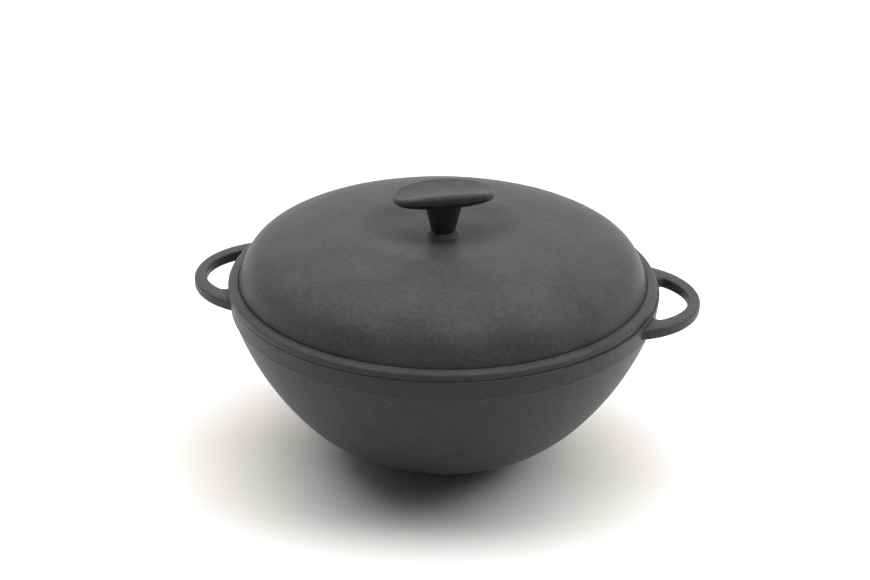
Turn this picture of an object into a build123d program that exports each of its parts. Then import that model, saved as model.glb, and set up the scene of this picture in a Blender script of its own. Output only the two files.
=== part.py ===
# Round-bottomed cast-iron wok with two loop ears and a domed lid.
# The frame stands on the middle of the foot: +Z up, ears along X, sizes in millimetres.
from build123d import *
from math import asin, atan2, cos, degrees, hypot, radians, sin
import os

os.makedirs("parts", exist_ok=True)

# Pot: the casting's outside
rim_height = 144.0
rim_radius = 171.0
rim_round = 1.0
collar_height = 15.5
collar_draft = 1.3
collar_step = 1.0
collar_round = 0.7
knuckle_radius = 130.0
knuckle_centre = 25.0
knuckle_sweep = 50.0
pot_wall = 5.0
foot_radius = 38.0
foot_drop = 1.0
foot_round = 0.5

# Pot: the two loop ears, in plan and in thickness
ear_reach = 31.8
ear_curve = 63.2
ear_bar = 9.6
gap_curve = 45.5
gap_corner = 6.0
ear_root_round = 8.0
ear_thickness = 8.5
ear_drop = 2.5
ear_edge_round = 2.3
ear_bury = 0.8

# Lid: flange, centring lip, dome and the shallow dish round the knob
flange_inset = 1.0
flange_width = 8.6
flange_thickness = 5.0
flange_fall = 1.1
flange_round = 0.9
dome_height = 39.8
dome_lean = 77.0
dome_rise = 28.4
dome_reach = 80.1
dome_tilt = 2.2
lid_wall = 4.5
lip_depth = 6.0
lip_thickness = 4.0
lip_clearance = 2.3
dish_radius = 61.0
dish_depth = 6.3
dish_crest_round = 30.0
boss_radius = 10.8
boss_top_radius = 9.4
boss_height = 4.8
boss_root_round = 2.0
lid_shift_x = -1.1
lid_shift_y = -0.5

# Knob: a stem that narrows down to the boss and a saddle-shaped grip
knob_turn = 21.9
stem_foot_radius = 8.8
stem_top_radius = 15.3
stem_height = 24.0
grip_length = 80.8
grip_width = 41.5
grip_end_radius = 17.0
grip_thickness = 10.2
grip_droop = 3.6
grip_dish = 2.6
grip_rise = 1.6
grip_edge_round = 2.2
grip_root_round = 3.0

# Knob fastening, an M8 pan-head screw from inside the lid
screw_radius = 3.95
thread_clearance = 0.1
lid_hole_clearance = 0.6
screw_grip = 13.0
screw_end_gap = 2.0
head_radius = 7.5
head_height = 4.2
head_round = 1.8
slot_width = 1.8
slot_depth = 2.0
washer_radius = 9.5
washer_thickness = 1.6
washer_clearance = 0.4
pad_radius = 13.0

# How near a point lies to a named radius or height to count as on it
touch = 0.01


def tangent_turn(start, start_angle, end):
    """Angle in degrees at the end of the arc that leaves start at start_angle and reaches end."""
    chord = degrees(atan2(end[1] - start[1], end[0] - start[0]))
    return 2 * chord - start_angle


def moved(point, angle, distance):
    """A point shifted square to a curve whose direction there is angle, towards its left side."""
    turn = radians(angle + 90)
    return (point[0] + distance * cos(turn), point[1] + distance * sin(turn))


def heading(angle):
    """Unit direction in the profile plane."""
    return (cos(radians(angle)), sin(radians(angle)))


def from_axis(point, x=0, y=0):
    """Distance of a point from the upright axis through (x, y)."""
    return hypot(point.X - x, point.Y - y)


# The bowl's outline: a round knuckle over the foot, then one arc up to the collar
collar_foot = rim_height - collar_height
collar_foot_radius = rim_radius - collar_draft
bowl_top = (collar_foot_radius - collar_step, collar_foot - collar_step)
knuckle_end = (
    knuckle_centre + knuckle_radius * sin(radians(knuckle_sweep)),
    foot_drop + knuckle_radius * (1 - cos(radians(knuckle_sweep))),
)
bowl_top_angle = tangent_turn(knuckle_end, knuckle_sweep, bowl_top)
foot_meet = foot_drop + knuckle_radius * (1 - cos(asin((foot_radius - knuckle_centre) / knuckle_radius)))

# The inside follows at one wall's distance
floor_edge = (knuckle_centre, foot_drop + pot_wall)
inner_knuckle_end = moved(knuckle_end, knuckle_sweep, pot_wall)
inner_top = moved(bowl_top, bowl_top_angle, pot_wall)
mouth_radius = inner_top[0]

ear_centre = rim_radius + ear_reach - ear_curve
gap_centre = rim_radius + ear_reach - ear_bar - gap_curve
ear_base = rim_height - ear_drop - ear_thickness
ear_seat_radius = collar_foot_radius - ear_bury
ear_core_radius = ear_seat_radius - pot_wall / 2
ear_patch = 2 * (ear_curve + 2 * ear_root_round)

with BuildPart() as ear:
    with BuildSketch(Plane.XY.offset(ear_base)):
        Circle(ear_seat_radius)
        with Locations((ear_centre, 0)):
            Circle(ear_curve)
        with Locations((rim_radius, 0)):
            Rectangle(2 * ear_curve, ear_patch, mode=Mode.INTERSECT)
        roots = vertices().filter_by(lambda v: abs(from_axis(v) - ear_seat_radius) < touch)
        fillet(roots.group_by(lambda v: round(abs(v.Y)))[0], ear_root_round)
        with BuildSketch(Plane.XY, mode=Mode.PRIVATE) as gap:
            with Locations((gap_centre, 0)):
                Circle(gap_curve)
            Circle(ear_seat_radius, mode=Mode.SUBTRACT)
            fillet(vertices(), gap_corner)
        add(gap.sketch, mode=Mode.SUBTRACT)
        Circle(ear_core_radius, mode=Mode.SUBTRACT)
    extrude(amount=ear_thickness)
    outer_edges = edges().filter_by(Plane.XY).filter_by(
        lambda e: all(from_axis(e.position_at(t)) > ear_seat_radius - touch for t in (0, 1))
        and from_axis(e.position_at(0.5)) > ear_seat_radius + 5 * touch
    )
    fillet(outer_edges, ear_edge_round)

with BuildPart() as pot:
    with BuildSketch(Plane.XZ):
        with BuildLine():
            Line((0, 0), (foot_radius, 0))
            Line((foot_radius, 0), (foot_radius, foot_meet))
            ThreePointArc(
                (foot_radius, foot_meet),
                (
                    knuckle_centre + knuckle_radius * sin(radians(knuckle_sweep / 2)),
                    foot_drop + knuckle_radius * (1 - cos(radians(knuckle_sweep / 2))),
                ),
                knuckle_end,
            )
            TangentArc(knuckle_end, bowl_top, tangent=heading(knuckle_sweep))
            Line(bowl_top, (collar_foot_radius, collar_foot))
            Line((collar_foot_radius, collar_foot), (rim_radius, rim_height))
            Line((rim_radius, rim_height), (mouth_radius, rim_height))
            Line((mouth_radius, rim_height), inner_top)
            TangentArc(inner_top, inner_knuckle_end, tangent=heading(bowl_top_angle + 180))
            TangentArc(inner_knuckle_end, floor_edge, tangent=heading(knuckle_sweep + 180))
            Line(floor_edge, (0, floor_edge[1]))
            Line((0, floor_edge[1]), (0, 0))
        make_face()
        outer_rim = vertices().filter_by(lambda v: abs(v.X - rim_radius) < touch)
        fillet(outer_rim, rim_round)
        collar_edge = vertices().filter_by(lambda v: abs(v.X - collar_foot_radius) < touch)
        fillet(collar_edge, collar_round)
        foot_edge = vertices().filter_by(lambda v: abs(v.X - foot_radius) < touch and v.Z < foot_meet / 2)
        fillet(foot_edge, foot_round)
    revolve(axis=Axis.Z)
    add(ear.part)
    add(ear.part.mirror(Plane.YZ))
pot.part.label = "pot"
export_step(pot.part, "parts/pot.step")

# The lid lies a little off the pot's axis, within the play of its lip
lid_axis = Axis((lid_shift_x, lid_shift_y, 0), (0, 0, 1))
lid_profile = Plane(origin=(lid_shift_x, lid_shift_y, 0), x_dir=(1, 0, 0), z_dir=(0, -1, 0))
lip_radius = mouth_radius - lip_clearance
flange_radius = rim_radius - flange_inset
dome_foot_radius = flange_radius - flange_width
dome_foot = rim_height + flange_thickness + flange_fall
crest = (dish_radius, dome_foot + dome_height)
dish_floor = crest[1] - dish_depth
boss_top = dish_floor + boss_height
screw_bore = screw_radius + lid_hole_clearance
pad_height = dish_floor - lid_wall
dish_steepness = 2 * degrees(atan2(dish_depth, dish_radius - boss_radius))
inner_crest = (dish_radius, crest[1] - lid_wall)
inner_foot_radius = lip_radius - lip_thickness

with BuildPart() as lid:
    with BuildSketch(lid_profile):
        with BuildLine():
            Line((inner_foot_radius, rim_height - lip_depth), (lip_radius, rim_height - lip_depth))
            Line((lip_radius, rim_height - lip_depth), (lip_radius, rim_height))
            Line((lip_radius, rim_height), (flange_radius, rim_height))
            Line((flange_radius, rim_height), (flange_radius, rim_height + flange_thickness))
            Line((flange_radius, rim_height + flange_thickness), (dome_foot_radius, dome_foot))
            Bezier(
                (dome_foot_radius, dome_foot),
                (
                    dome_foot_radius - dome_rise * cos(radians(dome_lean)),
                    dome_foot + dome_rise * sin(radians(dome_lean)),
                ),
                (
                    crest[0] + dome_reach * cos(radians(dome_tilt)),
                    crest[1] - dome_reach * sin(radians(dome_tilt)),
                ),
                crest,
            )
            TangentArc(crest, (boss_radius, dish_floor), tangent=heading(180 + dish_steepness))
            Line((boss_radius, dish_floor), (boss_top_radius, boss_top))
            Line((boss_top_radius, boss_top), (screw_bore, boss_top))
            Line((screw_bore, boss_top), (screw_bore, pad_height))
            Line((screw_bore, pad_height), (pad_radius, pad_height))
            TangentArc((pad_radius, pad_height), inner_crest, tangent=(1, 0))
            Bezier(
                inner_crest,
                (
                    inner_crest[0] + dome_reach * cos(radians(dome_tilt)),
                    inner_crest[1] - dome_reach * sin(radians(dome_tilt)),
                ),
                (
                    inner_foot_radius - dome_rise * cos(radians(dome_lean)),
                    dome_foot + dome_rise * sin(radians(dome_lean)) - lid_wall,
                ),
                (inner_foot_radius, dome_foot),
            )
            Line((inner_foot_radius, dome_foot), (inner_foot_radius, rim_height - lip_depth))
        make_face()
        flange_edges = vertices().filter_by(lambda v: abs(v.X - lid_shift_x - flange_radius) < touch)
        fillet(flange_edges, flange_round)
        crest_edge = vertices().filter_by(
            lambda v: abs(v.X - lid_shift_x - crest[0]) < touch and abs(v.Z - crest[1]) < touch
        )
        fillet(crest_edge, dish_crest_round)
        boss_root = vertices().filter_by(
            lambda v: abs(v.X - lid_shift_x - boss_radius) < touch and abs(v.Z - dish_floor) < touch
        )
        fillet(boss_root, boss_root_round)
    revolve(axis=lid_axis)
lid.part.label = "lid"
export_step(lid.part, "parts/lid.step")

# Knob: a fat oval grip on a stem that widens up to it. The grip's top is a saddle, high at the front
# and back lips and low at the tips, and its underside lifts a little towards the tips.
grip_floor = boss_top + stem_height
grip_crown = grip_floor + grip_thickness
grip_half = grip_length / 2
grip_side = grip_width / 2
knob_origin = (lid_shift_x, lid_shift_y, 0)
knob_along = Vector(cos(radians(knob_turn)), sin(radians(knob_turn)), 0)
knob_across = Vector(-sin(radians(knob_turn)), cos(radians(knob_turn)), 0)
stem_plane = Plane(origin=knob_origin, x_dir=knob_along, z_dir=-knob_across)
oval_plane = Plane(origin=(lid_shift_x, lid_shift_y, boss_top), x_dir=knob_along, z_dir=(0, 0, 1))

# The oval is two end arcs and two long side arcs, each tangent to the next
end_centre = grip_half - grip_end_radius
side_radius = (grip_half**2 + grip_side**2 - 2 * grip_half * grip_end_radius) / (
    2 * (grip_side - grip_end_radius)
)
side_centre = grip_side - side_radius
blend_angle = degrees(atan2(-side_centre, end_centre))

# The saddle and the underside are bowed surfaces that run one grip thickness past the tips
bow_reach = grip_half + grip_thickness
bow_share = (bow_reach / grip_half) ** 2
lip_rise = grip_dish * (grip_width / grip_side) ** 2
stem_core_height = grip_thickness / 2
stem_core_radius = stem_top_radius + (stem_top_radius - stem_foot_radius) * stem_core_height / stem_height

with BuildPart() as lid_knob:
    with BuildSketch(oval_plane):
        with BuildLine():
            CenterArc((end_centre, 0), grip_end_radius, -blend_angle, 2 * blend_angle)
            CenterArc((0, side_centre), side_radius, blend_angle, 180 - 2 * blend_angle)
            CenterArc((-end_centre, 0), grip_end_radius, 180 - blend_angle, 2 * blend_angle)
            CenterArc((0, -side_centre), side_radius, 180 + blend_angle, 180 - 2 * blend_angle)
        make_face()
    extrude(amount=stem_height + grip_thickness + lip_rise)
    with BuildSketch(stem_plane):
        with BuildLine():
            under = ThreePointArc(
                (-bow_reach, grip_floor + grip_rise * bow_share),
                (0, grip_floor),
                (bow_reach, grip_floor + grip_rise * bow_share),
            )
            Polyline(
                under @ 0,
                (-bow_reach, grip_crown + lip_rise),
                (bow_reach, grip_crown + lip_rise),
                under @ 1,
            )
        make_face()
    extrude(amount=grip_width, both=True, mode=Mode.INTERSECT)
    with BuildLine(stem_plane) as droop_path:
        ThreePointArc(
            (-bow_reach, grip_crown - grip_droop * bow_share),
            (0, grip_crown),
            (bow_reach, grip_crown - grip_droop * bow_share),
        )
    spine = droop_path.wires()[0]
    with BuildSketch(Plane(origin=spine @ 0, x_dir=knob_across, z_dir=spine % 0)):
        with BuildLine():
            saddle = ThreePointArc((-grip_width, lip_rise), (0, 0), (grip_width, lip_rise))
            Polyline(saddle @ 0, (-grip_width, -stem_height), (grip_width, -stem_height), saddle @ 1)
        make_face()
    sweep(mode=Mode.INTERSECT)
    fillet(edges().filter_by(Axis.Z, reverse=True), grip_edge_round)
    with BuildSketch(stem_plane):
        with BuildLine():
            Polyline(
                (0, boss_top),
                (stem_foot_radius, boss_top),
                (stem_core_radius, grip_floor + stem_core_height),
                (0, grip_floor + stem_core_height),
                close=True,
            )
        make_face()
    revolve(axis=Axis(knob_origin, (0, 0, 1)))
    stem_joint = edges().filter_by(
        lambda e: all(
            abs(from_axis(e.position_at(t), lid_shift_x, lid_shift_y) - stem_top_radius) < grip_rise / 2
            and abs(e.position_at(t).Z - grip_floor) < grip_rise
            for t in (0, 0.5, 1)
        )
    )
    fillet(stem_joint, grip_root_round)
    with BuildSketch(Plane(origin=(lid_shift_x, lid_shift_y, boss_top), z_dir=(0, 0, 1))):
        Circle(screw_radius + thread_clearance)
    extrude(amount=screw_grip + screw_end_gap, mode=Mode.SUBTRACT)
lid_knob.part.label = "lid_knob"
export_step(lid_knob.part, "parts/lid_knob.step")

# Fastening from inside the lid: washer against the pad, then the screw's head
washer_low = pad_height - washer_thickness
with BuildPart() as knob_washer:
    with BuildSketch(Plane(origin=(lid_shift_x, lid_shift_y, washer_low), z_dir=(0, 0, 1))):
        Circle(washer_radius)
        Circle(screw_radius + washer_clearance, mode=Mode.SUBTRACT)
    extrude(amount=washer_thickness)
knob_washer.part.label = "knob_washer"
export_step(knob_washer.part, "parts/knob_washer.step")

with BuildPart() as knob_screw:
    with BuildSketch(lid_profile):
        with BuildLine():
            Polyline(
                (0, washer_low - head_height),
                (head_radius, washer_low - head_height),
                (head_radius, washer_low),
                (screw_radius, washer_low),
                (screw_radius, boss_top + screw_grip),
                (0, boss_top + screw_grip),
                close=True,
            )
        make_face()
        head_edge = vertices().filter_by(
            lambda v: abs(v.X - lid_shift_x - head_radius) < touch and v.Z < washer_low - head_height / 2
        )
        fillet(head_edge, head_round)
    revolve(axis=lid_axis)
    with BuildSketch(Plane(origin=(lid_shift_x, lid_shift_y, washer_low - head_height), z_dir=(0, 0, 1))):
        Rectangle(2 * (head_radius + slot_width), slot_width)
    extrude(amount=slot_depth, mode=Mode.SUBTRACT)
knob_screw.part.label = "knob_screw"
export_step(knob_screw.part, "parts/knob_screw.step")
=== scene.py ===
"""Cast-iron wok with two loop ears and a domed lid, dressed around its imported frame."""
import logging
import math
from collections.abc import Callable, Sequence
from dataclasses import dataclass, field
from enum import Enum
from typing import Any

import bpy
import numpy as np
from mathutils import Matrix, Vector


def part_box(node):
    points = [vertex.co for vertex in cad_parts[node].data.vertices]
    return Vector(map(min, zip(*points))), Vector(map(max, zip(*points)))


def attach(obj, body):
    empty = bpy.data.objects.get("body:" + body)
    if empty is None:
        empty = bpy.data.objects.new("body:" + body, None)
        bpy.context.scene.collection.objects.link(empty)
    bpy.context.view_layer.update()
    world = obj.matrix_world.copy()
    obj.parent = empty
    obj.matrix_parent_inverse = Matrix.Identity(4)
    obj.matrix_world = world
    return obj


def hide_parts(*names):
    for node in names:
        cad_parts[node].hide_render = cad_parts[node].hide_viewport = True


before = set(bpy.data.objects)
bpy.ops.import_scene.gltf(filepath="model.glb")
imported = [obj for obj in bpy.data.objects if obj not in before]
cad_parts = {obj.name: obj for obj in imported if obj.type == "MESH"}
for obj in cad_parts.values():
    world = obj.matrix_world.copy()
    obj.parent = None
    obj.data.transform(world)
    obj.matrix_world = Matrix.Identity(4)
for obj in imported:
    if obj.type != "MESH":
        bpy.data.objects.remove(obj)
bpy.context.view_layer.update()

MM = 0.001
JOINT_POINTS = 9
SWELL_WAVES = 7
SWELL_LENGTHS = (45.0, 130.0)
Point = Sequence[float] | np.ndarray
log = logging.getLogger("wok")


class Body(Enum):
    """The rigid bodies that pieces ride on."""

    POT = "pot"
    LID = "lid"


class Slot(Enum):
    """The material slots of the record."""

    CAST_IRON = "cast_iron"
    STEEL = "steel"


@dataclass
class Surface:
    """A mesh as arrays: points in millimetres, and faces as rows of point numbers."""

    points: np.ndarray
    quads: np.ndarray
    triangles: np.ndarray

    def __add__(self, other: "Surface") -> "Surface":
        """Both surfaces as one, the second one's faces counted on from the first one's points."""
        shift = len(self.points)
        return Surface(
            np.vstack((self.points, other.points)),
            np.vstack((self.quads, other.quads + shift)),
            np.vstack((self.triangles, other.triangles + shift)),
        )

    def volume(self) -> float:
        """Signed volume: a sixth of the sum of p0 . (p1 x p2) over all triangles."""
        q = self.quads
        corners = np.vstack((self.triangles, q[:, [0, 1, 2]], q[:, [0, 2, 3]]))
        a, b, c = (self.points[corners[:, k]] for k in range(3))
        return float(np.einsum("ij,ij->i", a, np.cross(b, c)).sum() / 6)

    def outward(self) -> "Surface":
        """The same surface with its faces turned so that its volume is positive."""
        if self.volume() >= 0:
            return self
        return Surface(self.points, self.quads[:, ::-1], self.triangles[:, ::-1])


def direction(degrees: float) -> np.ndarray:
    """Unit vector (cos a, sin a)."""
    return np.array([math.cos(math.radians(degrees)), math.sin(math.radians(degrees))])


def ramp(values: np.ndarray, start: float, width: float) -> np.ndarray:
    """(values - start) / width, held between 0 and 1."""
    return np.clip((values - start) / width, 0, 1)


def line(start: Point, end: Point, step: float = 2.0) -> np.ndarray:
    """Evenly spaced points start + t (end - start).

    Args:
        start: First point.
        end: Last point.
        step: Widest spacing in millimetres.

    Returns:
        An array of points, one row each.
    """
    count = max(2, math.ceil(math.dist(start, end) / step) + 1)
    t = np.linspace(0, 1, count)[:, None]
    return np.asarray(start) + t * (np.asarray(end) - np.asarray(start))


def arc(centre: Point, radius: float, first: float, last: float, count: int) -> np.ndarray:
    """Points centre + radius (cos a, sin a) with a from first to last degrees.

    Args:
        centre: Centre of the circle.
        radius: Its radius.
        first: Angle of the first point in degrees.
        last: Angle of the last point in degrees.
        count: Number of points.

    Returns:
        An array of points, one row each.
    """
    a = np.radians(np.linspace(first, last, count))
    return np.asarray(centre) + radius * np.stack((np.cos(a), np.sin(a)), 1)


def tangent_arc(start: Point, end: Point, heading: float, step: float = 2.5) -> np.ndarray:
    """The arc that leaves start along heading and reaches end.

    With n the left normal of the heading and c the chord, its radius is c.c / (2 c.n),
    and it turns by twice the angle from the heading to the chord.

    Args:
        start: First point.
        end: Last point.
        heading: Direction at the start in degrees.
        step: Widest spacing in millimetres.

    Returns:
        An array of points, one row each.
    """
    start, end = np.asarray(start, float), np.asarray(end, float)
    chord, normal = end - start, direction(heading + 90)
    centre = start + normal * (chord @ chord) / (2 * chord @ normal)
    spoke = start - centre
    lean = math.degrees(math.atan2(chord[1], chord[0])) - heading
    turn = 2 * ((lean + 180) % 360 - 180)
    radius = float(np.hypot(*spoke))
    first = math.degrees(math.atan2(spoke[1], spoke[0]))
    count = max(3, math.ceil(radius * math.radians(abs(turn)) / step) + 1)
    return arc(centre, radius, first, first + turn, count)


def bowed(start: Point, end: Point, rise: float, count: int = 17) -> np.ndarray:
    """A straight line bowed to its right by a parabola: s + t (e - s) + 4 t (1 - t) rise n.

    Args:
        start: First point s.
        end: Last point e.
        rise: Height of the bow at its middle.
        count: Number of points.

    Returns:
        An array of points, one row each.
    """
    start, end = np.asarray(start, float), np.asarray(end, float)
    t = np.linspace(0, 1, count)[:, None]
    chord = end - start
    normal = np.array([chord[1], -chord[0]]) / np.hypot(*chord)
    return start + t * chord + 4 * t * (1 - t) * rise * normal


def bezier(a: Point, b: Point, c: Point, d: Point, count: int) -> np.ndarray:
    """Cubic curve (1-t)^3 a + 3(1-t)^2 t b + 3(1-t) t^2 c + t^3 d.

    Args:
        a: First point.
        b: Point that the curve leaves a towards.
        c: Point that the curve reaches d from.
        d: Last point.
        count: Number of points.

    Returns:
        An array of points, one row each.
    """
    t = np.linspace(0, 1, count)[:, None]
    a, b, c, d = (np.asarray(p, float) for p in (a, b, c, d))
    return (1 - t) ** 3 * a + 3 * (1 - t) ** 2 * t * b + 3 * (1 - t) * t**2 * c + t**3 * d


def trimmed(path: np.ndarray, head: float, tail: float) -> np.ndarray:
    """What is left of a path when a length is cut from its head and its tail.

    Args:
        path: Points, one row each.
        head: Length cut at the start.
        tail: Length cut at the end.

    Returns:
        The shorter path, with new end points placed by length along the old one.
    """
    steps = np.hypot(*np.diff(path, axis=0).T)
    along = np.concatenate(([0.0], np.cumsum(steps)))
    low, high = head, along[-1] - tail
    ends = np.array([[np.interp(s, along, path[:, k]) for k in (0, 1)] for s in (low, high)])
    return np.vstack((ends[:1], path[(along > low) & (along < high)], ends[1:]))


def rounded_path(stretches: list[np.ndarray], rounds: Sequence[float], closed: bool) -> np.ndarray:
    """Stretches laid end to end, with each joint softened.

    A joint with round s is replaced by the quadratic curve (1-t)^2 p + 2 (1-t) t q + t^2 r,
    where q is the joint and p and r lie at the length s before and after it.

    Args:
        stretches: Paths, each starting where the one before ends.
        rounds: The length s at each joint, 0 for a smooth or sharp one.
        closed: Whether the last stretch ends at the start of the first.

    Returns:
        One path without repeated points.
    """
    softness = [rounds[-1], *rounds] if closed else [0.0, *rounds, 0.0]
    t = np.linspace(0, 1, JOINT_POINTS)[:, None]
    parts = []
    for number, path in enumerate(stretches):
        kept = trimmed(path, softness[number], softness[number + 1])
        parts.append(kept[:-1] if softness[number + 1] == 0 else kept)
        if softness[number + 1] > 0:
            after = stretches[(number + 1) % len(stretches)]
            far = trimmed(after, softness[number + 1], 0)[0]
            curve = (1 - t) ** 2 * kept[-1] + 2 * (1 - t) * t * path[-1] + t**2 * far
            parts.append(curve[1:-1])
    if not closed:
        parts.append(stretches[-1][-1:])
    return np.vstack(parts)


def ring_surface(rings: np.ndarray, poles: tuple[Point, Point] | None = None) -> Surface:
    """A grid of rings, closed around, as an outward-facing surface.

    Args:
        rings: Array (rows, columns, 3), one closed ring a row.
        poles: The points that close the first and the last ring, or None where the last ring
            joins the first one.

    Returns:
        The surface.
    """
    rows, columns = rings.shape[:2]
    last = rows if poles is None else rows - 1
    i, j = (a.ravel() for a in np.meshgrid(np.arange(last), np.arange(columns), indexing="ij"))
    below, above, beside = i * columns, (i + 1) % rows * columns, (j + 1) % columns
    quads = np.stack((below + j, below + beside, above + beside, above + j), 1)
    points, fans = rings.reshape(-1, 3), np.zeros((0, 3), int)
    if poles is not None:
        j = np.arange(columns)
        end, size = (rows - 1) * columns, len(points)
        bottom = np.stack(((j + 1) % columns, j, np.full(columns, size)), 1)
        top = np.stack((end + j, end + (j + 1) % columns, np.full(columns, size + 1)), 1)
        fans = np.vstack((bottom, top))
        points = np.vstack((points, poles[0], poles[1]))
    return Surface(points, quads, fans).outward()


def turned_rings(path: np.ndarray, segments: int, centre: Point = (0.0, 0.0)) -> np.ndarray:
    """A profile of radii and heights turned about an upright axis.

    The point of row i and column j is (x + r_i cos a_j, y + r_i sin a_j, z_i).

    Args:
        path: Radius and height of each row.
        segments: Number of columns around.
        centre: Place of the axis in plan.

    Returns:
        Array (rows, columns, 3).
    """
    a = np.linspace(0, 2 * math.pi, segments, endpoint=False)
    plan = np.stack((np.cos(a), np.sin(a)), 1)
    level = np.asarray(centre) + path[:, :1, None] * plan[None]
    height = np.broadcast_to(path[:, 1][:, None, None], (len(path), segments, 1))
    return np.concatenate((level, height), 2)


def cast_rings(
    rings: np.ndarray, depth: float, weight: np.ndarray, seed: int, wrap: bool
) -> np.ndarray:
    """Rings sunk by a slow unevenness, as sand-cast faces have.

    A point p moves along the grid's normal by depth times weight times the mean of
    (1 + sin(k.p + phase)) / 2 over a few wave vectors k, always into the material.

    Args:
        rings: Array (rows, columns, 3).
        depth: Deepest hollow in millimetres.
        weight: Share of the depth that each row gets.
        seed: Seed of the waves.
        wrap: Whether the last ring joins the first.

    Returns:
        The moved rings.
    """
    rng = np.random.default_rng(seed)
    length = rng.uniform(*SWELL_LENGTHS, SWELL_WAVES)
    waves = rng.normal(size=(SWELL_WAVES, 3))
    waves *= (2 * math.pi / length / np.linalg.norm(waves, axis=1))[:, None]
    phase = rng.uniform(0, 2 * math.pi, SWELL_WAVES)
    swell = (1 + np.sin(rings @ waves.T + phase)).mean(2) / 2
    around = np.roll(rings, -1, 1) - np.roll(rings, 1, 1)
    along = np.roll(rings, -1, 0) - np.roll(rings, 1, 0) if wrap else np.gradient(rings, axis=0)
    normal = np.cross(around, along)
    normal /= np.maximum(np.linalg.norm(normal, axis=2, keepdims=True), 1e-9)
    return rings - normal * (depth * weight[:, None] * swell)[..., None]


class Socket:
    """A shader node's output that can be written in sums and products."""

    def __init__(self, shader: "Shader", output: bpy.types.NodeSocket) -> None:
        """Keeps the output and the shader that it belongs to."""
        self.shader, self.output = shader, output

    def _math(self, operation: str, first: Any, second: Any) -> "Socket":
        """A Math node of this operation."""
        return self.shader.node("ShaderNodeMath", {"operation": operation}, {0: first, 1: second})

    def __add__(self, other: Any) -> "Socket":
        """self + other."""
        return self._math("ADD", self, other)

    def __radd__(self, other: Any) -> "Socket":
        """other + self."""
        return self._math("ADD", other, self)

    def __sub__(self, other: Any) -> "Socket":
        """self - other."""
        return self._math("SUBTRACT", self, other)

    def __rsub__(self, other: Any) -> "Socket":
        """other - self."""
        return self._math("SUBTRACT", other, self)

    def __mul__(self, other: Any) -> "Socket":
        """self * other."""
        return self._math("MULTIPLY", self, other)

    def __rmul__(self, other: Any) -> "Socket":
        """other * self."""
        return self._math("MULTIPLY", other, self)

    def __abs__(self) -> "Socket":
        """self without its sign."""
        return self._math("ABSOLUTE", self, 0.0)


class Shader:
    """A node tree of a material or a world, emptied and written node by node."""

    def __init__(self, owner: bpy.types.ID) -> None:
        """Empties the owner's node tree."""
        owner.use_nodes = True
        self.tree = owner.node_tree
        self.tree.nodes.clear()

    def node(
        self, kind: str, settings: dict | None = None, inputs: dict | None = None, output: Any = 0
    ) -> Socket:
        """Adds a node.

        Args:
            kind: The node's type.
            settings: Its attributes, set first.
            inputs: Values or sockets for its inputs, by name or number.
            output: Name or number of the output to hand back.

        Returns:
            That output, or the first input's socket of a node without outputs.
        """
        made = self.tree.nodes.new(kind)
        for name, value in (settings or {}).items():
            setattr(made, name, value)
        for key, value in (inputs or {}).items():
            if isinstance(value, Socket):
                self.tree.links.new(value.output, made.inputs[key])
            else:
                made.inputs[key].default_value = value
        return Socket(self, made.outputs[output] if made.outputs else made.inputs[0])

    def coordinates(self, output: str = "Object") -> Socket:
        """The Texture Coordinate node's output of this name."""
        return self.node("ShaderNodeTexCoord", {}, {}, output)

    def along(self, vector: Socket, axis: Point) -> Socket:
        """How far a vector reaches along an axis: their dot product."""
        inputs = {0: vector, 1: tuple(float(part) for part in axis)}
        return self.node("ShaderNodeVectorMath", {"operation": "DOT_PRODUCT"}, inputs, "Value")

    def noise(self, place: Socket, size: float, detail: float) -> Socket:
        """Noise between 0 and 1 whose blotches are about size millimetres wide."""
        inputs = {"Vector": place, "Scale": 1 / (size * MM), "Detail": detail, "Roughness": 0.55}
        return self.node("ShaderNodeTexNoise", {}, inputs, "Fac")

    def span(
        self, value: Socket, low: float, high: float, bottom: float = 0.0, top: float = 1.0
    ) -> Socket:
        """A smooth step of value from low..high to bottom..top, clamped."""
        inputs = {"Value": value, "From Min": low, "From Max": high, "To Min": bottom, "To Max": top}
        return self.node("ShaderNodeMapRange", {"interpolation_type": "SMOOTHSTEP"}, inputs)

    def background_rays(self) -> Socket:
        """1 for camera, glossy and transmission rays, which show the background, 0 for others."""
        names = ("Is Camera Ray", "Is Glossy Ray", "Is Transmission Ray")
        camera, glossy, through = (self.node("ShaderNodeLightPath", {}, {}, name) for name in names)
        held = {"operation": "ADD", "use_clamp": True}
        return self.node("ShaderNodeMath", held, {0: camera + glossy, 1: through})

    def mix(self, factor: Any, first: Any, second: Any) -> Socket:
        """The first colour where factor is 0 and the second one where it is 1."""
        return self.node("ShaderNodeMix", {"data_type": "RGBA"}, {0: factor, 6: first, 7: second}, 2)


def grey(level: float, tint: float = 0.0) -> tuple[float, float, float, float]:
    """A grey of this linear level, bluer for a positive tint and warmer for a negative one."""
    return (level * (1 - tint), level, level * (1 + tint), 1.0)


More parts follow.
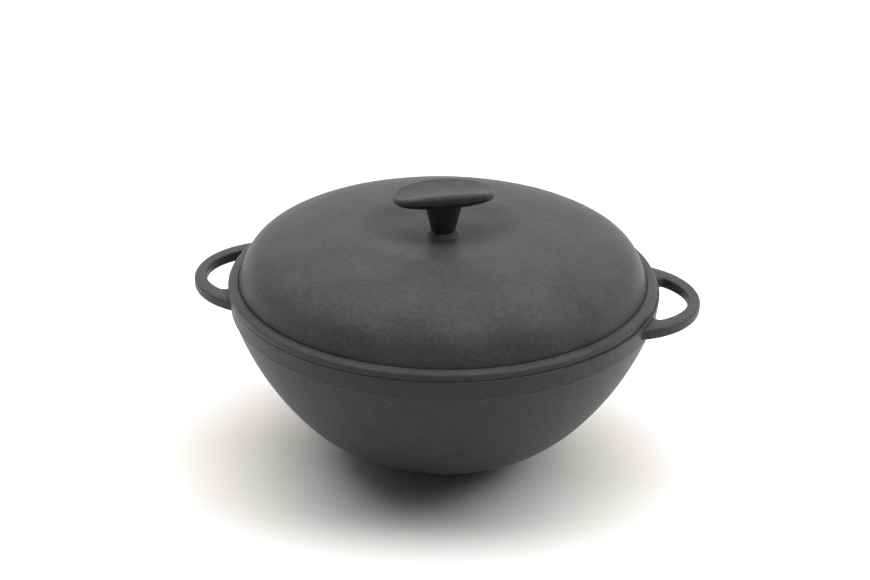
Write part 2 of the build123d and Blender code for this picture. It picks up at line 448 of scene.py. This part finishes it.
@dataclass(frozen=True)
class CastIron:
    """Seasoned sand-cast iron: charcoal, satin, with a fine grain and slow cloudy patches."""

    name: str = "cast_iron"
    dark: float = 0.031
    light: float = 0.058
    speck: float = 0.13
    tint: float = 0.012
    ior: float = 1.33
    roughness: float = 0.46
    roughness_spread: float = 0.16
    grain_size: float = 1.5
    grain_depth: float = 0.15
    pit_size: float = 3.8
    pit_depth: float = 0.17
    cloud_size: float = 38.0
    speck_size: float = 1.7
    speck_span: tuple[float, float] = (0.72, 0.80)
    speck_cover: float = 0.55
    speck_height: float = 0.12
    tone_span: tuple[float, float] = (0.36, 0.64)
    scar_size: float = 9.0
    scar_span: tuple[float, float] = (0.56, 0.64)
    scar_speckle: float = 0.16
    scar_low: float = 117.0
    scar_high: float = 127.5
    scar_low_fade: float = 3.0
    scar_high_fade: float = 1.0

    def scars(self, shader: Shader, place: Socket) -> Socket:
        """Patches of rougher casting in a band under the collar's foot.

        Args:
            shader: The material's shader.
            place: Object coordinates.

        Returns:
            0 on even iron and 1 in a patch.
        """
        z = shader.along(place, (0.0, 0.0, 1.0))
        low, high = self.scar_low * MM, self.scar_high * MM
        above = shader.span(z, low, (self.scar_low + self.scar_low_fade) * MM)
        below = shader.span(z, (self.scar_high - self.scar_high_fade) * MM, high, 1.0, 0.0)
        patches = shader.span(shader.noise(place, self.scar_size, 1.0), *self.scar_span)
        return above * below * patches

    def material(self) -> bpy.types.Material:
        """Builds the material on Object coordinates.

        The tone is a smooth step of 0.35 clouds + 0.25 pits + 0.4 grain, and the height is the
        sum of grain, pits and specks, each times its depth.

        Returns:
            The material.
        """
        made = bpy.data.materials.new(self.name)
        shader = Shader(made)
        place = shader.coordinates()
        grain = shader.noise(place, self.grain_size, 3.0)
        pits = shader.noise(place, self.pit_size, 2.0)
        clouds = shader.noise(place, self.cloud_size, 4.0)
        tone = shader.span(clouds * 0.35 + pits * 0.25 + grain * 0.4, *self.tone_span)
        iron = shader.mix(tone, grey(self.dark, self.tint), grey(self.light, self.tint))
        scars = self.scars(shader, place)
        sparks = shader.noise(place, self.speck_size, 1.0)
        bright = sparks + scars * self.scar_speckle
        specks = shader.span(bright, *self.speck_span) * self.speck_cover
        colour = shader.mix(specks, iron, grey(self.speck))
        rough = self.roughness + (clouds * 0.5 + grain * 0.5 - 0.5) * self.roughness_spread
        hollows = grain * (self.grain_depth * MM) + pits * (self.pit_depth * MM)
        height = hollows + specks * (self.speck_height * MM)
        bump = shader.node("ShaderNodeBump", {}, {"Height": height, "Distance": 1.0, "Strength": 1.0})
        inputs = {"Base Color": colour, "Roughness": rough, "Normal": bump, "IOR": self.ior}
        surface = shader.node("ShaderNodeBsdfPrincipled", {}, inputs)
        shader.node("ShaderNodeOutputMaterial", {}, {"Surface": surface})
        return made


@dataclass(frozen=True)
class TurnedSteel:
    """Plain bright steel of the screw and washer, with fine turning marks round the upright axis."""

    name: str = "steel"
    dark: float = 0.41
    light: float = 0.55
    roughness: float = 0.34
    roughness_spread: float = 0.2
    mark_size: float = 0.35
    mark_depth: float = 0.02
    mark_strength: float = 0.4
    stain_size: float = 4.2

    def material(self) -> bpy.types.Material:
        """Builds the material on Object coordinates.

        Returns:
            The material.
        """
        made = bpy.data.materials.new(self.name)
        shader = Shader(made)
        place = shader.coordinates()
        marks = shader.noise(place, self.mark_size, 2.0)
        stains = shader.noise(place, self.stain_size, 2.0)
        colour = shader.mix(stains, grey(self.dark), grey(self.light))
        rough = self.roughness + (marks - 0.5) * self.roughness_spread
        relief = {"Height": marks * (self.mark_depth * MM), "Distance": 1.0, "Strength": self.mark_strength}
        bump = shader.node("ShaderNodeBump", {}, relief)
        inputs = {"Base Color": colour, "Roughness": rough, "Normal": bump, "Metallic": 1.0}
        surface = shader.node("ShaderNodeBsdfPrincipled", {}, inputs)
        shader.node("ShaderNodeOutputMaterial", {}, {"Surface": surface})
        return made


def make_piece(
    name: str, surface: Surface, material: bpy.types.Material, body: Body
) -> bpy.types.Object:
    """Puts a surface into a mesh object at the origin, smooth shaded, and lets it ride on a body.

    Args:
        name: The piece's name.
        surface: Its surface in millimetres.
        material: Its material.
        body: The body that carries it.

    Returns:
        The object.
    """
    mesh = bpy.data.meshes.new(name)
    faces = surface.quads.tolist() + surface.triangles.tolist()
    mesh.from_pydata((surface.points * MM).tolist(), [], faces)
    mesh.polygons.foreach_set("use_smooth", np.ones(len(faces), bool))
    mesh.materials.append(material)
    mesh.update()
    piece = bpy.data.objects.new(name, mesh)
    bpy.context.scene.collection.objects.link(piece)
    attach(piece, body.value)
    log.info("%s: %d faces, %.0f cm3", name, len(faces), surface.volume() / 1000)
    return piece


@dataclass
class Pot:
    """The bowl on its small foot, the collar and flat rim, and the two loop ears cast with it."""

    rim_height: float = 144.0
    rim_radius: float = 171.0
    collar_height: float = 15.5
    collar_draft: float = 1.3
    collar_step: float = 1.0
    knuckle_radius: float = 130.0
    knuckle_centre: float = 25.0
    knuckle_sweep: float = 50.0
    wall: float = 5.0
    foot_radius: float = 38.0
    foot_drop: float = 1.0
    ear_reach: float = 31.8
    ear_curve: float = 63.2
    ear_bar: float = 9.6
    gap_curve: float = 45.5
    gap_corner: float = 6.0
    ear_root_round: float = 8.0
    ear_thickness: float = 8.5
    ear_drop: float = 2.5
    ear_edge_round: float = 2.3
    ear_bury: float = 0.8
    rounds: tuple[float, ...] = (0.5, 0.4, 0.0, 0.45, 0.6, 1.1, 1.0, 1.5, 0.0, 0.0)
    edge_step: float = 0.5
    knuckle_points: int = 48
    inner_points: int = 40
    corner_points: int = 12
    long_points: int = 97
    edge_points: int = 7
    cast_depth: float = 0.25
    cast_seed: int = 3
    cast_start: float = 3.0
    cast_start_fade: float = 12.0
    cast_stop: float = 4.0
    cast_stop_fade: float = 8.0
    segments: int = 320

    def profile(self) -> tuple[np.ndarray, float]:
        """The whole wall's outline from the foot's middle, over the rim, to the floor's middle.

        Returns:
            The path of radii and heights, and the radius of the mouth.
        """
        foot = self.rim_height - self.collar_height
        collar = (self.rim_radius - self.collar_draft, foot)
        top = np.array([collar[0] - self.collar_step, foot - self.collar_step])
        centre = np.array([self.knuckle_centre, self.foot_drop + self.knuckle_radius])
        lean = math.degrees(math.asin((self.foot_radius - self.knuckle_centre) / self.knuckle_radius))
        sweep = self.knuckle_sweep - 90
        knuckle = arc(centre, self.knuckle_radius, lean - 90, sweep, self.knuckle_points)
        side = tangent_arc(knuckle[-1], top, self.knuckle_sweep)
        chord = top - knuckle[-1]
        top_heading = 2 * math.degrees(math.atan2(chord[1], chord[0])) - self.knuckle_sweep
        inner_top = top + self.wall * direction(top_heading + 90)
        inner_end = knuckle[-1] + self.wall * direction(self.knuckle_sweep + 90)
        inner_radius = self.knuckle_radius - self.wall
        rim = (self.rim_radius, self.rim_height)
        mouth = (inner_top[0], self.rim_height)
        floor = (self.knuckle_centre, self.foot_drop + self.wall)
        stretches = [
            line((0.0, 0.0), (self.foot_radius, 0.0)),
            line((self.foot_radius, 0.0), knuckle[0], self.edge_step),
            knuckle,
            side,
            line(top, collar, self.edge_step),
            line(collar, rim),
            line(rim, mouth),
            line(mouth, inner_top),
            tangent_arc(inner_top, inner_end, top_heading + 180),
            arc(centre, inner_radius, sweep, -90, self.inner_points),
            line(floor, (0.0, floor[1])),
        ]
        return rounded_path(stretches, self.rounds, closed=False), float(mouth[0])

    def bowl(self) -> Surface:
        """The turned wall, sunk a little unevenly between the foot and the rim.

        Returns:
            The surface, closed at both poles.
        """
        path, _ = self.profile()
        rings = turned_rings(path[1:-1], self.segments)
        z = rings[:, 0, 2]
        weight = ramp(z, self.cast_start, self.cast_start_fade)
        weight = weight * ramp(self.rim_height - self.cast_stop - z, 0.0, self.cast_stop_fade)
        rings = cast_rings(rings, self.cast_depth, weight, self.cast_seed, wrap=False)
        return ring_surface(rings, ((0, 0, path[0, 1]), (0, 0, path[-1, 1])))

    def edge_path(self, circle: float, radius: float, corner: float, outward: int) -> np.ndarray:
        """One side of an ear in plan: a buried end, a corner round, the long arc and back.

        The corner's circle touches the collar's circle from outside and the long arc's circle
        from outside (outward 1, the root) or from inside (outward -1, the gap's corner).

        Args:
            circle: Place of the long arc's centre on the X axis.
            radius: The long arc's radius.
            corner: The corner circle's radius.
            outward: 1 for the outer side, -1 for the side of the gap.

        Returns:
            An array of points, from positive to negative Y.
        """
        seat = self.rim_radius - self.collar_draft - self.ear_bury
        near, far = seat + corner, radius + outward * corner
        x = (near**2 - far**2 + circle**2) / (2 * circle)
        hub = np.array([x, math.sqrt(near**2 - x**2)])
        touch_seat = hub * seat / near
        spoke = (hub - (circle, 0)) / far
        touch_arc = np.array([circle, 0]) + radius * spoke
        first = math.degrees(math.atan2(*(touch_seat - hub)[::-1]))
        last = math.degrees(math.atan2(*(touch_arc - hub)[::-1]))
        turn = (last - first + 180) % 360 - 180
        round_part = arc(hub, corner, first, first + turn, self.corner_points)
        buried = line(touch_seat * (1 - self.wall / 2 / seat), touch_seat, 1.0)[:-1]
        angle = math.degrees(math.atan2(spoke[1], spoke[0]))
        long_part = arc((circle, 0), radius, angle, -angle, self.long_points)
        head = np.vstack((buried[:3], round_part[:-1]))
        return np.vstack((head, long_part, head[::-1] * (1, -1)))

    def ear(self, side: int) -> Surface:
        """A loop ear: a rounded bar section carried between the gap's edge and the outer edge.

        With i and o the points of the two edges and w their distance, a section point lies at
        i + (a / w)(o - i), with a and the height on a rectangle with corners of ear_edge_round.

        Args:
            side: 1 for the ear at positive X, -1 for the other.

        Returns:
            The surface.
        """
        tip = self.rim_radius + self.ear_reach
        outer = self.edge_path(tip - self.ear_curve, self.ear_curve, self.ear_root_round, 1)
        gap_centre = tip - self.ear_bar - self.gap_curve
        inner = self.edge_path(gap_centre, self.gap_curve, self.gap_corner, -1)
        width = np.hypot(*(outer - inner).T)[:, None]
        e, low = self.ear_edge_round, self.rim_height - self.ear_drop - self.ear_thickness
        quarter = np.radians(np.linspace(0, 90, self.edge_points))
        phi = np.concatenate([quarter + k * math.pi / 2 for k in range(4)])
        at_outer = np.repeat([1, 0, 0, 1], self.edge_points)
        at_top = np.repeat([1, 1, 0, 0], self.edge_points)
        across = np.where(at_outer, width - e, e) + e * np.cos(phi)
        height = np.where(at_top, self.ear_thickness - e, e) + e * np.sin(phi) + low
        plan = inner[:, None] + (across / width)[..., None] * (outer - inner)[:, None]
        rings = np.concatenate((plan, np.broadcast_to(height[None, :, None], (*across.shape, 1))), 2)
        rings = rings * (side, 1, 1)
        return ring_surface(rings, (rings[0].mean(0), rings[-1].mean(0)))

    def build(self, iron: bpy.types.Material) -> list[bpy.types.Object]:
        """Makes the bowl and the ears, which stand for the pot's CAD solid.

        Args:
            iron: Their material.

        Returns:
            The bowl, the right ear and the left ear.
        """
        bowl = make_piece("pot_bowl", self.bowl(), iron, Body.POT)
        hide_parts("pot")
        right = make_piece("ear_right", self.ear(1), iron, Body.POT)
        left = make_piece("ear_left", self.ear(-1), iron, Body.POT)
        return [bowl, right, left]


@dataclass
class Lid:
    """The domed lid: flange, centring lip, dome, and a shallow dish with the knob's boss."""

    pot: Pot
    flange_inset: float = 1.0
    flange_width: float = 8.6
    flange_thickness: float = 5.0
    flange_fall: float = 1.1
    flange_crown: float = 0.55
    seam_depth: float = 0.8
    seam_width: float = 0.9
    seam_lift: float = 0.1
    seam_step: float = 0.3
    dome_height: float = 39.8
    dome_lean: float = 77.0
    dome_rise: float = 28.4
    dome_reach: float = 80.1
    dome_tilt: float = 2.2
    wall: float = 4.5
    lip_depth: float = 6.0
    lip_thickness: float = 4.0
    lip_clearance: float = 2.3
    dish_radius: float = 61.0
    dish_depth: float = 6.3
    boss_radius: float = 12.2
    boss_top_radius: float = 10.2
    boss_height: float = 4.8
    bore_radius: float = 4.55
    pad_radius: float = 13.0
    rounds: tuple[float, ...] = (
        0.8, 0.5, 0.9, 1.9, 0.4, 0.1, 0.2, 9.0, 2.6, 1.4, 0.3, 0.3, 1.5, 9.0, 1.5, 0.8
    )
    boss_step: float = 0.8
    dome_points: int = 110
    inner_points: int = 60
    cast_depth: float = 0.3
    cast_seed: int = 8
    cast_start: float = 9.0
    cast_start_fade: float = 10.0
    cast_hub: float = 14.0
    cast_hub_fade: float = 12.0
    segments: int = 256
    centre: tuple[float, float] = field(init=False)

    def __post_init__(self) -> None:
        """Takes the lid's axis from its CAD solid."""
        low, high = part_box("lid")
        self.centre = tuple(float((low[k] + high[k]) / 2 / MM) for k in (0, 1))

    def boss_top(self) -> float:
        """Height of the boss that the knob stands on."""
        crest = self.pot.rim_height + self.flange_thickness + self.flange_fall + self.dome_height
        return crest - self.dish_depth + self.boss_height

    def profile(self) -> np.ndarray:
        """The closed outline of the lid's wall, once around.

        Returns:
            The path of radii and heights.
        """
        rim = self.pot.rim_height
        lip = self.pot.profile()[1] - self.lip_clearance
        flange = self.pot.rim_radius - self.flange_inset
        foot = np.array([flange - self.flange_width, rim + self.flange_thickness + self.flange_fall])
        crest = np.array([self.dish_radius, foot[1] + self.dome_height])
        rise = self.dome_rise * direction(180 - self.dome_lean)
        reach = self.dome_reach * direction(-self.dome_tilt)
        floor, top = crest[1] - self.dish_depth, self.boss_top()
        steepness = 2 * math.degrees(math.atan2(self.dish_depth, self.dish_radius - self.boss_radius))
        inner_lip, pad = lip - self.lip_thickness, floor - self.wall
        inner_crest, inner_foot = crest - (0, self.wall), np.array([inner_lip, foot[1]])
        inner_rise = inner_foot + rise - (0, self.wall)
        flange_top = (flange, rim + self.flange_thickness)
        seam_edge = foot + (self.seam_width, self.seam_lift)
        seam_floor = foot - (0, self.seam_depth)
        stretches = [
            line((inner_lip, rim - self.lip_depth), (lip, rim - self.lip_depth)),
            line((lip, rim - self.lip_depth), (lip, rim)),
            line((lip, rim), (flange, rim)),
            line((flange, rim), flange_top),
            bowed(flange_top, seam_edge, self.flange_crown),
            line(seam_edge, seam_floor, self.seam_step),
            line(seam_floor, foot, self.seam_step),
            bezier(foot, foot + rise, crest + reach, crest, self.dome_points),
            tangent_arc(crest, (self.boss_radius, floor), 180 + steepness),
            line((self.boss_radius, floor), (self.boss_top_radius, top), self.boss_step),
            line((self.boss_top_radius, top), (self.bore_radius, top)),
            line((self.bore_radius, top), (self.bore_radius, pad)),
            line((self.bore_radius, pad), (self.pad_radius, pad)),
            tangent_arc((self.pad_radius, pad), inner_crest, 0),
            bezier(inner_crest, inner_crest + reach, inner_rise, inner_foot, self.inner_points),
            line(inner_foot, (inner_lip, rim - self.lip_depth)),
        ]
        return rounded_path(stretches, self.rounds, closed=True)

    def build(self, iron: bpy.types.Material) -> bpy.types.Object:
        """Makes the lid, which stands for its CAD solid.

        Args:
            iron: Its material.

        Returns:
            The lid.
        """
        path = self.profile()
        rings = turned_rings(path, self.segments, self.centre)
        weight = ramp(path[:, 1] - self.pot.rim_height, self.cast_start, self.cast_start_fade)
        weight = weight * ramp(path[:, 0], self.cast_hub, self.cast_hub_fade)
        rings = cast_rings(rings, self.cast_depth, weight, self.cast_seed, wrap=True)
        piece = make_piece("lid_dome", ring_surface(rings), iron, Body.LID)
        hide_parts("lid")
        return piece


@dataclass
class Knob:
    """The cast knob: a fat oval grip with a saddle top on a stem that widens up to it."""

    lid: Lid
    turn: float = 21.9
    stem_foot_radius: float = 9.6
    stem_top_radius: float = 15.3
    stem_height: float = 24.0
    length: float = 80.8
    width: float = 41.5
    end_radius: float = 17.0
    thickness: float = 10.2
    droop: float = 3.6
    dish: float = 2.6
    rise: float = 1.6
    lip_share: float = 0.34
    belly_share: float = 0.46
    belly_inset: float = 5.5
    tip_inset: float = 2.6
    flat_rows: int = 22
    bent_rows: int = 15
    root_round: float = 3.0
    root_rise: float = 0.35
    foot_round: float = 0.8
    bore_round: float = 0.3
    bore_radius: float = 4.05
    bore_depth: float = 15.0
    segments: int = 240
    stem_segments: int = 128

    def oval(self) -> tuple[np.ndarray, np.ndarray]:
        """The grip's plan: two end arcs and two long side arcs, each tangent to the next.

        Returns:
            Points along the grip and across it, and the outward normals there.
        """
        half, side, r = self.length / 2, self.width / 2, self.end_radius
        long_r = (half**2 + side**2 - 2 * half * r) / (2 * (side - r))
        blend = math.degrees(math.atan2(long_r - side, half - r))
        count = self.segments // 4
        spans = [
            ((half - r, 0), r, -blend, blend),
            ((0, side - long_r), long_r, blend, 180 - blend),
            ((r - half, 0), r, 180 - blend, 180 + blend),
            ((0, long_r - side), long_r, 180 + blend, 360 - blend),
        ]
        points = np.vstack([arc(c, q, a, b, count + 1)[:-1] for c, q, a, b in spans])
        normals = np.vstack([arc((0, 0), 1, a, b, count + 1)[:-1] for _, _, a, b in spans])
        return points, normals

    def grip(self) -> Surface:
        """The grip: top and underside are height functions over the oval, rounded at its edge.

        Along u and across v from the middle, the top is crown - droop (u/A)^2 + dish (v/B)^2 and
        the underside is floor + rise (u/A)^2. Each is rounded at the edge by a quarter ellipse:
        at the inset i (1 - sin q) it has drawn in by h (1 - cos q), with q from 0 to 90 degrees.
        Above, i and h are a share of the thickness. Below, h is another share of it, and i grows
        from the tips to the long sides.

        Returns:
            The surface, turned and placed on the lid's axis.
        """
        edge, normal = self.oval()
        half, side = self.length / 2, self.width / 2
        floor = self.lid.boss_top() + self.stem_height
        crown = floor + self.thickness

        def top(p: np.ndarray) -> np.ndarray:
            """Height of the saddle over plan points."""
            return crown - self.droop * (p[..., 0] / half) ** 2 + self.dish * (p[..., 1] / side) ** 2

        def under(p: np.ndarray) -> np.ndarray:
            """Height of the underside over plan points."""
            return floor + self.rise * (p[..., 0] / half) ** 2

        def skin(
            inset: np.ndarray, draw: np.ndarray, height: Callable[[np.ndarray], np.ndarray], sign: int
        ) -> tuple[np.ndarray, np.ndarray]:
            """Rows from near the middle out to the edge.

            Args:
                inset: How far inside the edge its round starts.
                draw: How far the round draws in at the edge.
                height: The face's height function.
                sign: -1 for the top and 1 for the underside.

            Returns:
                Plan points and heights.
            """
            s = np.sin(np.linspace(0, math.pi / 2, self.flat_rows)[1:])[:, None, None]
            q = np.linspace(0, math.pi / 2, self.bent_rows)[1:][:, None, None]
            flat = s * (edge - normal * inset[:, None])[None]
            bent = edge[None] - normal[None] * (inset[:, None] * (1 - np.sin(q)))
            plan = np.concatenate((flat, bent))
            drawn = np.concatenate((0 * flat[..., 0], draw[None] * (1 - np.cos(q[..., 0]))))
            return plan, height(plan) + sign * drawn

        thick = top(edge) - under(edge)
        belly = self.tip_inset + (self.belly_inset - self.tip_inset) * (edge[:, 1] / side) ** 2
        plan_up, upper = skin(self.lip_share * thick, self.lip_share * thick, top, -1)
        plan_low, lower = skin(belly, self.belly_share * thick, under, 1)
        plan_rows = np.concatenate((plan_low, plan_up[::-1]))
        heights = np.concatenate((lower, upper[::-1]))
        c, d = direction(self.turn)
        turned = plan_rows @ np.array([[c, d], [-d, c]]) + self.lid.centre
        rings = np.concatenate((turned, heights[..., None]), 2)
        return ring_surface(rings, ((*self.lid.centre, floor), (*self.lid.centre, crown)))

    def stem(self) -> Surface:
        """The stem, bored from below for the screw, with a flare under the grip.

        Returns:
            The surface, whose top is hidden inside the grip.
        """
        foot = self.lid.boss_top()
        floor = foot + self.stem_height
        hidden, root, bore = floor + self.thickness / 2, floor + self.root_rise, foot + self.bore_depth
        corners = [
            (0.0, hidden),
            (self.stem_top_radius, hidden),
            (self.stem_top_radius + self.root_round, root),
            (self.stem_top_radius, root),
            (self.stem_foot_radius, foot),
            (self.bore_radius, foot),
            (self.bore_radius, bore),
            (0.0, bore),
        ]
        stretches = [line(start, end) for start, end in zip(corners, corners[1:])]
        rounds = (0.0, 0.0, self.root_round - 0.1, self.foot_round, self.bore_round, 0.0)
        path = rounded_path(stretches, rounds, closed=False)
        rings = turned_rings(path[1:-1], self.stem_segments, self.lid.centre)
        x, y = self.lid.centre
        return ring_surface(rings, ((x, y, path[0, 1]), (x, y, path[-1, 1])))

    def build(self, iron: bpy.types.Material) -> bpy.types.Object:
        """Makes the knob, grip and stem in one, which stands for its CAD solid."""
        piece = make_piece("knob", self.grip() + self.stem(), iron, Body.LID)
        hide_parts("lid_knob")
        return piece


@dataclass
class Fastening:
    """The screw and washer inside the lid, which keep their CAD meshes."""

    nodes: tuple[str, ...] = ("knob_screw", "knob_washer")

    def dress(self, steel: bpy.types.Material) -> None:
        """Gives each node the steel finish."""
        for name in self.nodes:
            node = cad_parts[name]
            node.data.materials.clear()
            node.data.materials.append(steel)
            log.info("%s: steel", name)


@dataclass(frozen=True)
class SoftLamp:
    """A softbox far overhead, long from side to side, leaning back, with soft edges."""

    lean: float
    aside: float
    deep: float
    wide: float
    soft: float
    level: float

    def edge(self, shader: Shader, offset: Socket, half: float) -> Socket:
        """A smooth step down as the size of an offset passes the sine of half an opening."""
        inner, outer = (float(direction(half + k * self.soft)[1]) for k in (-1, 1))
        return shader.span(abs(offset), inner, outer, 1.0, 0.0)

    def glow(self, shader: Shader, ray: Socket, back: np.ndarray) -> Socket:
        """The lamp's level along a ray.

        With d the ray, n the vector across the lamp and r the vector along it, it is the level
        times a step down in |d.n| times a step down in |d.r - sin(aside)|.

        Args:
            shader: The world's shader.
            ray: Direction of the ray.
            back: Unit vector in plan, away from the camera.

        Returns:
            The level.
        """
        rise, lean = direction(self.lean)
        across = shader.along(ray, (back[0] * rise, back[1] * rise, -lean))
        beside = shader.along(ray, (back[1], -back[0], 0.0)) - float(direction(self.aside)[1])
        depth, width = self.edge(shader, across, self.deep), self.edge(shader, beside, self.wide)
        return depth * width * self.level


@dataclass
class Studio:
    """A pale floor under two soft lamps, with a bright wall behind and a dim camera side."""

    floor_half: float = 9.0
    floor_level: float = 0.93
    floor_tint: float = -0.045
    floor_bounce: float = 0.64
    front_bounce: float = 0.02
    front_start: float = 0.10
    front_end: float = 0.55
    overhead: SoftLamp = SoftLamp(-2.5, aside=6.0, deep=11.0, wide=50.0, soft=5.0, level=4.9)
    rear: SoftLamp = SoftLamp(26.0, aside=6.0, deep=22.0, wide=50.0, soft=7.0, level=1.5)
    cool: float = 0.03
    wall_level: float = 0.85
    wall_start: float = -0.10
    wall_end: float = 0.75
    fill_level: float = 0.035
    camera_azimuth: float = 7.5

    def floor(self) -> None:
        """The floor, which takes the object's shadow.

        The light that it throws back on the object is dimmed by painted shade in its colour, most of
        all in front: with f the distance towards the camera, by a smooth step down in f. The
        camera, reflections and what shines through see it pale all over.
        """
        h = self.floor_half
        mesh = bpy.data.meshes.new("floor")
        mesh.from_pydata([(-h, -h, 0), (h, -h, 0), (h, h, 0), (-h, h, 0)], [], [(0, 1, 2, 3)])
        made = bpy.data.materials.new("pale_floor")
        shader = Shader(made)
        seen = shader.background_rays()
        ahead = shader.along(shader.coordinates(), (*direction(self.camera_azimuth - 90), 0.0))
        # painted shade: the floor colour that the object's bounce light sees, dimmed all over and darker
        # towards the camera
        levels = (self.floor_bounce, self.front_bounce)
        bounce = shader.span(ahead, self.front_start, self.front_end, *levels)
        painted_shade_bounce = shader.mix(bounce, grey(0.0), grey(1.0))
        colour = shader.mix(seen, painted_shade_bounce, grey(self.floor_level, self.floor_tint))
        diffuse = shader.node("ShaderNodeBsdfDiffuse", {}, {"Color": colour})
        shader.node("ShaderNodeOutputMaterial", {}, {"Surface": diffuse})
        mesh.materials.append(made)
        floor = bpy.data.objects.new("floor", mesh)
        bpy.context.scene.collection.objects.link(floor)

    def light(self) -> None:
        """The surround, by direction: the lamps, the wall behind and a dim fill in front.

        With a the ray's part away from the camera, the wall is a smooth step of a. The lamps are
        a little cool. The camera, reflections and what shines through see plain white.
        """
        world = bpy.data.worlds.new("studio")
        bpy.context.scene.world = world
        shader = Shader(world)
        ray = shader.coordinates("Generated")
        back = direction(self.camera_azimuth + 90)
        behind = shader.along(ray, (*back, 0.0))
        lamps = self.overhead.glow(shader, ray, back) + self.rear.glow(shader, ray, back)
        levels = (self.fill_level, self.wall_level)
        wall = shader.span(behind, self.wall_start, self.wall_end, *levels)
        seen = shader.background_rays()
        strength = (lamps + wall) * (1 - seen) + seen
        coolness = shader.span(lamps, 0.0, self.overhead.level) * (1 - seen)
        hue = shader.mix(coolness, grey(1.0), grey(1.0, self.cool))
        glow = shader.node("ShaderNodeBackground", {}, {"Color": hue, "Strength": strength})
        shader.node("ShaderNodeOutputWorld", {}, {"Surface": glow})


@dataclass
class ViewCamera:
    """The camera at the photograph's place, turned, tilted and rolled in degrees."""

    place: tuple[float, float, float] = (0.15582, -1.18360, 0.70071)
    heading: float = 7.844
    tilt: float = 25.34
    roll: float = 0.578
    lens: float = 68.28
    sensor: float = 36.0
    farthest: float = 100.0

    def build(self) -> None:
        """Makes the scene's camera."""
        data = bpy.data.cameras.new("view")
        data.lens, data.sensor_width, data.clip_end = self.lens, self.sensor, self.farthest
        camera = bpy.data.objects.new("view", data)
        turn = Matrix.Rotation(math.radians(self.heading), 4, "Z")
        lean = Matrix.Rotation(math.radians(90 - self.tilt), 4, "X")
        tip = Matrix.Rotation(math.radians(self.roll), 4, "Z")
        camera.matrix_world = Matrix.Translation(Vector(self.place)) @ turn @ lean @ tip
        bpy.context.scene.collection.objects.link(camera)
        bpy.context.scene.camera = camera


def main() -> None:
    """Builds and dresses every piece, the studio and the camera."""
    logging.basicConfig(level=logging.INFO, format="%(message)s")
    bpy.context.scene.view_settings.view_transform = "Standard"
    iron = CastIron().material()
    pot = Pot()
    pot.build(iron)
    lid = Lid(pot)
    lid.build(iron)
    Knob(lid).build(iron)
    Fastening().dress(TurnedSteel().material())
    studio = Studio()
    studio.floor()
    studio.light()
    ViewCamera().build()
    bpy.context.view_layer.update()


if __name__ == "__main__":
    main()
